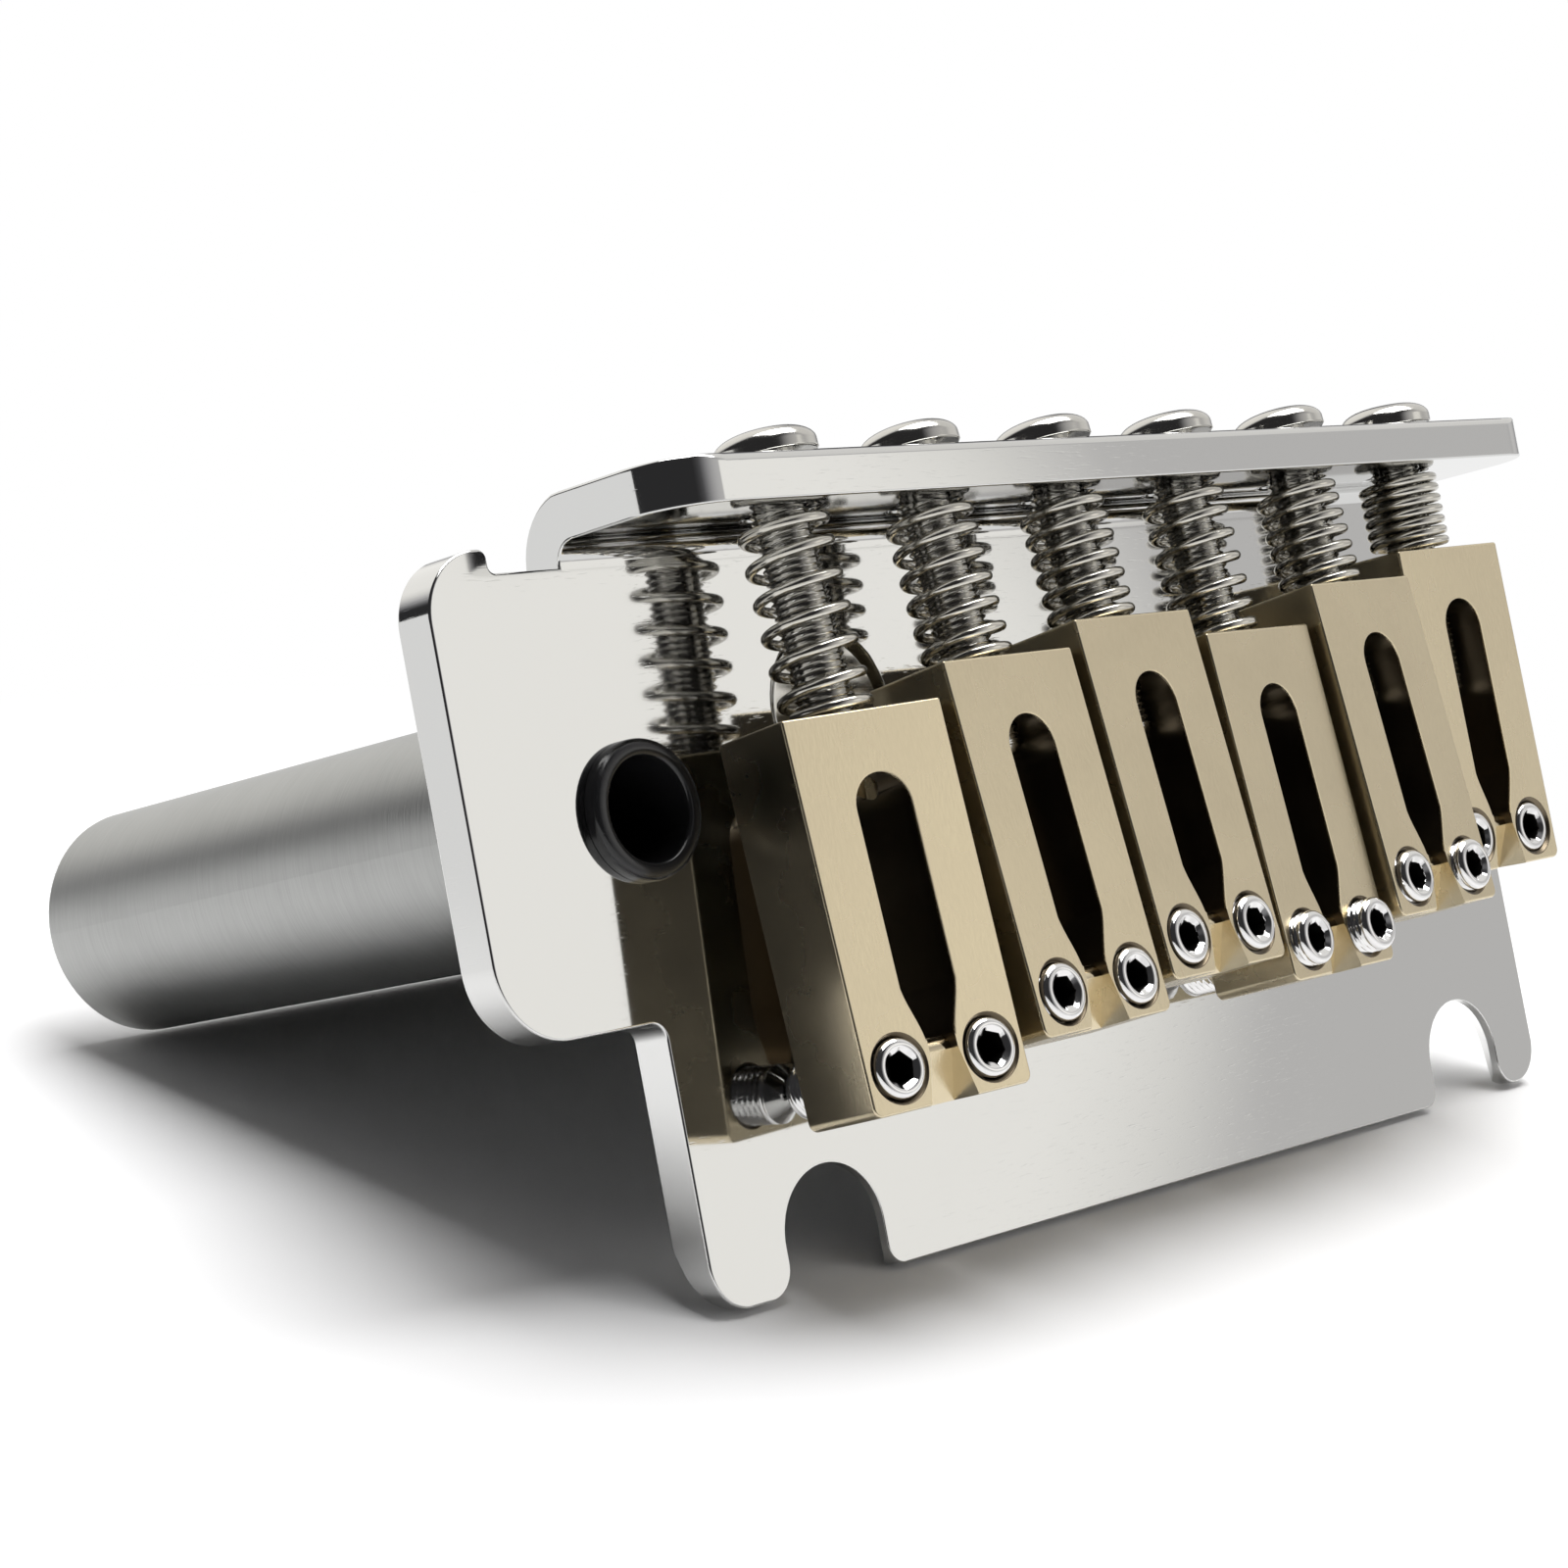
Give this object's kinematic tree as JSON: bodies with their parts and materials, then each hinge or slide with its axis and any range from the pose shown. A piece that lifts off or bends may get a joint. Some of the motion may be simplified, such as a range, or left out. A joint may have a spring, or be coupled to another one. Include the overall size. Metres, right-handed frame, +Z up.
{
  "type": "guitar tremolo bridge",
  "caption": "Two-point guitar tremolo bridge with adjustable saddles on a bent plate, coil springs, an arm socket and a hanging sustain block.",
  "frame": {"origin": "midway between the centres of the two stud notches, on the top face of the base plate", "axes": "+X across the strings towards the bass side, +Y back to the flange, +Z up out of the plate"},
  "size_m": [0.0823, 0.0422, 0.0542],
  "materials": {
    "plate": "mirror",
    "block": "satin",
    "bushing": "gloss",
    "saddle": "satin",
    "spring": "bright wire",
    "block_screw": "polished",
    "grub_screw": "polished",
    "screw": "polished"
  },
  "bodies": {
    "bridge": {"base_plate": "plate", "sustain_block": "block", "arm_bushing": "bushing", "block_screw_1": "block_screw", "block_screw_2": "block_screw", "block_screw_3": "block_screw"},
    "height_1": {"intonation_spring_1": "spring"},
    "screw_1": {"intonation_screw_1": "screw"},
    "saddle_1": {"saddle_1": "saddle"},
    "height_screw_1_treble": {"height_screw_1_treble": "grub_screw"},
    "height_screw_1_bass": {"height_screw_1_bass": "grub_screw"},
    "height_2": {"intonation_spring_2": "spring"},
    "screw_2": {"intonation_screw_2": "screw"},
    "saddle_2": {"saddle_2": "saddle"},
    "height_screw_2_treble": {"height_screw_2_treble": "grub_screw"},
    "height_screw_2_bass": {"height_screw_2_bass": "grub_screw"},
    "height_3": {"intonation_spring_3": "spring"},
    "screw_3": {"intonation_screw_3": "screw"},
    "saddle_3": {"saddle_3": "saddle"},
    "height_screw_3_treble": {"height_screw_3_treble": "grub_screw"},
    "height_screw_3_bass": {"height_screw_3_bass": "grub_screw"},
    "height_4": {"intonation_spring_4": "spring"},
    "screw_4": {"intonation_screw_4": "screw"},
    "saddle_4": {"saddle_4": "saddle"},
    "height_screw_4_treble": {"height_screw_4_treble": "grub_screw"},
    "height_screw_4_bass": {"height_screw_4_bass": "grub_screw"},
    "height_5": {"intonation_spring_5": "spring"},
    "screw_5": {"intonation_screw_5": "screw"},
    "saddle_5": {"saddle_5": "saddle"},
    "height_screw_5_treble": {"height_screw_5_treble": "grub_screw"},
    "height_screw_5_bass": {"height_screw_5_bass": "grub_screw"},
    "height_6": {"intonation_spring_6": "spring"},
    "screw_6": {"intonation_screw_6": "screw"},
    "saddle_6": {"saddle_6": "saddle"},
    "height_screw_6_treble": {"height_screw_6_treble": "grub_screw"},
    "height_screw_6_bass": {"height_screw_6_bass": "grub_screw"}
  },
  "joints": [
    {"name": "saddle_height_1", "type": "hinge", "parent": "bridge", "child": "height_1", "pos_m": [-0.02675, 0.0367, 0.004], "axis": [-1, 0, 0], "range_deg": [-2.05, 2.05]},
    {"name": "saddle_intonation_1", "type": "slide", "parent": "height_1", "child": "saddle_1", "axis": [0, -0.9976, 0.0698], "range_m": [-0.00228, 0.00122], "deforming": ["intonation_spring_1"]},
    {"name": "intonation_screw_turn_1", "type": "hinge", "parent": "height_1", "child": "screw_1", "pos_m": [-0.02675, 0.0367, 0.004], "axis": [0, 0.9976, -0.0698], "range_deg": [-2360, 1280]},
    {"name": "height_screw_1_treble_reach", "type": "slide", "parent": "saddle_1", "child": "height_screw_1_treble", "axis": [0.1392, -0.0691, -0.9879], "range_m": [-0.00103, 0.00103]},
    {"name": "height_screw_1_bass_reach", "type": "slide", "parent": "saddle_1", "child": "height_screw_1_bass", "axis": [0.1392, -0.0691, -0.9879], "range_m": [-0.00104, 0.00104]},
    {"name": "saddle_height_2", "type": "hinge", "parent": "bridge", "child": "height_2", "pos_m": [-0.01605, 0.0367, 0.004], "axis": [-1, 0, 0], "range_deg": [-2.05, 2.05]},
    {"name": "saddle_intonation_2", "type": "slide", "parent": "height_2", "child": "saddle_2", "axis": [0, -0.9938, 0.1115], "range_m": [-0.00193, 0.00298], "deforming": ["intonation_spring_2"]},
    {"name": "intonation_screw_turn_2", "type": "hinge", "parent": "height_2", "child": "screw_2", "pos_m": [-0.01605, 0.0367, 0.004], "axis": [0, 0.9938, -0.1115], "range_deg": [-2000, 3080]},
    {"name": "height_screw_2_treble_reach", "type": "slide", "parent": "saddle_2", "child": "height_screw_2_treble", "axis": [0, -0.1115, -0.9938], "range_m": [-0.00095, 0.00095]},
    {"name": "height_screw_2_bass_reach", "type": "slide", "parent": "saddle_2", "child": "height_screw_2_bass", "axis": [0, -0.1115, -0.9938], "range_m": [-0.00096, 0.00096]},
    {"name": "saddle_height_3", "type": "hinge", "parent": "bridge", "child": "height_3", "pos_m": [-0.00535, 0.0367, 0.004], "axis": [-1, 0, 0], "range_deg": [-2.05, 2.05]},
    {"name": "saddle_intonation_3", "type": "slide", "parent": "height_3", "child": "saddle_3", "axis": [0, -0.994, 0.1097], "range_m": [-0.00193, 0.0042], "deforming": ["intonation_spring_3"]},
    {"name": "intonation_screw_turn_3", "type": "hinge", "parent": "height_3", "child": "screw_3", "pos_m": [-0.00535, 0.0367, 0.004], "axis": [0, 0.994, -0.1097], "range_deg": [-2000, 4340]},
    {"name": "height_screw_3_treble_reach", "type": "slide", "parent": "saddle_3", "child": "height_screw_3_treble", "axis": [-0.0262, -0.1097, -0.9936], "range_m": [-0.0009, 0.0009]},
    {"name": "height_screw_3_bass_reach", "type": "slide", "parent": "saddle_3", "child": "height_screw_3_bass", "axis": [-0.0262, -0.1097, -0.9936], "range_m": [-0.00091, 0.00091]},
    {"name": "saddle_height_4", "type": "hinge", "parent": "bridge", "child": "height_4", "pos_m": [0.00535, 0.0367, 0.004], "axis": [-1, 0, 0], "range_deg": [-2.05, 2.05]},
    {"name": "saddle_intonation_4", "type": "slide", "parent": "height_4", "child": "saddle_4", "axis": [0, -0.9966, 0.0819], "range_m": [-0.00193, 0.0028], "deforming": ["intonation_spring_4"]},
    {"name": "intonation_screw_turn_4", "type": "hinge", "parent": "height_4", "child": "screw_4", "pos_m": [0.00535, 0.0367, 0.004], "axis": [0, 0.9966, -0.0819], "range_deg": [-2000, 2900]},
    {"name": "height_screw_4_treble_reach", "type": "slide", "parent": "saddle_4", "child": "height_screw_4_treble", "axis": [-0.0523, -0.0818, -0.9953], "range_m": [-0.00095, 0.00095]},
    {"name": "height_screw_4_bass_reach", "type": "slide", "parent": "saddle_4", "child": "height_screw_4_bass", "axis": [-0.0523, -0.0818, -0.9953], "range_m": [-0.00096, 0.00096]},
    {"name": "saddle_height_5", "type": "hinge", "parent": "bridge", "child": "height_5", "pos_m": [0.01605, 0.0367, 0.004], "axis": [-1, 0, 0], "range_deg": [-2.05, 2.05]},
    {"name": "saddle_intonation_5", "type": "slide", "parent": "height_5", "child": "saddle_5", "axis": [0, -0.9954, 0.0958], "range_m": [-0.00193, 0.0049], "deforming": ["intonation_spring_5"]},
    {"name": "intonation_screw_turn_5", "type": "hinge", "parent": "height_5", "child": "screw_5", "pos_m": [0.01605, 0.0367, 0.004], "axis": [0, 0.9954, -0.0958], "range_deg": [-2000, 5060]},
    {"name": "height_screw_5_treble_reach", "type": "slide", "parent": "saddle_5", "child": "height_screw_5_treble", "axis": [-0.0262, -0.0958, -0.9951], "range_m": [-0.00088, 0.00088]},
    {"name": "height_screw_5_bass_reach", "type": "slide", "parent": "saddle_5", "child": "height_screw_5_bass", "axis": [-0.0262, -0.0958, -0.9951], "range_m": [-0.00089, 0.00089]},
    {"name": "saddle_height_6", "type": "hinge", "parent": "bridge", "child": "height_6", "pos_m": [0.02675, 0.0367, 0.004], "axis": [-1, 0, 0], "range_deg": [-2.05, 2.05]},
    {"name": "saddle_intonation_6", "type": "slide", "parent": "height_6", "child": "saddle_6", "axis": [0, -1, 0.0087], "range_m": [-0.0014, 0.0063], "deforming": ["intonation_spring_6"]},
    {"name": "intonation_screw_turn_6", "type": "hinge", "parent": "height_6", "child": "screw_6", "pos_m": [0.02675, 0.0367, 0.004], "axis": [0, 1, -0.0087], "range_deg": [-1460, 6500]},
    {"name": "height_screw_6_treble_reach", "type": "slide", "parent": "saddle_6", "child": "height_screw_6_treble", "axis": [0.0262, -0.0087, -0.9996], "range_m": [-0.00081, 0.00081]},
    {"name": "height_screw_6_bass_reach", "type": "slide", "parent": "saddle_6", "child": "height_screw_6_bass", "axis": [0.0262, -0.0087, -0.9996], "range_m": [-0.00082, 0.00082]}
  ],
  "couplings": [
    {"joint": "intonation_screw_turn_1", "follows": "saddle_intonation_1", "rad_per_m": 17952},
    {"joint": "saddle_height_1", "follows": "height_screw_1_treble_reach", "rad_per_m": 33.976},
    {"joint": "height_screw_1_bass_reach", "follows": "height_screw_1_treble_reach", "ratio": 1},
    {"joint": "intonation_screw_turn_2", "follows": "saddle_intonation_2", "rad_per_m": 17952},
    {"joint": "saddle_height_2", "follows": "height_screw_2_treble_reach", "rad_per_m": 36.628},
    {"joint": "height_screw_2_bass_reach", "follows": "height_screw_2_treble_reach", "ratio": 1},
    {"joint": "intonation_screw_turn_3", "follows": "saddle_intonation_3", "rad_per_m": 17952},
    {"joint": "saddle_height_3", "follows": "height_screw_3_treble_reach", "rad_per_m": 38.609},
    {"joint": "height_screw_3_bass_reach", "follows": "height_screw_3_treble_reach", "ratio": 1},
    {"joint": "intonation_screw_turn_4", "follows": "saddle_intonation_4", "rad_per_m": 17952},
    {"joint": "saddle_height_4", "follows": "height_screw_4_treble_reach", "rad_per_m": 36.746},
    {"joint": "height_screw_4_bass_reach", "follows": "height_screw_4_treble_reach", "ratio": 1},
    {"joint": "intonation_screw_turn_5", "follows": "saddle_intonation_5", "rad_per_m": 17952},
    {"joint": "saddle_height_5", "follows": "height_screw_5_treble_reach", "rad_per_m": 39.88},
    {"joint": "height_screw_5_bass_reach", "follows": "height_screw_5_treble_reach", "ratio": 1},
    {"joint": "intonation_screw_turn_6", "follows": "saddle_intonation_6", "rad_per_m": 17952},
    {"joint": "saddle_height_6", "follows": "height_screw_6_treble_reach", "rad_per_m": 42.905},
    {"joint": "height_screw_6_bass_reach", "follows": "height_screw_6_treble_reach", "ratio": 1}
  ]
}
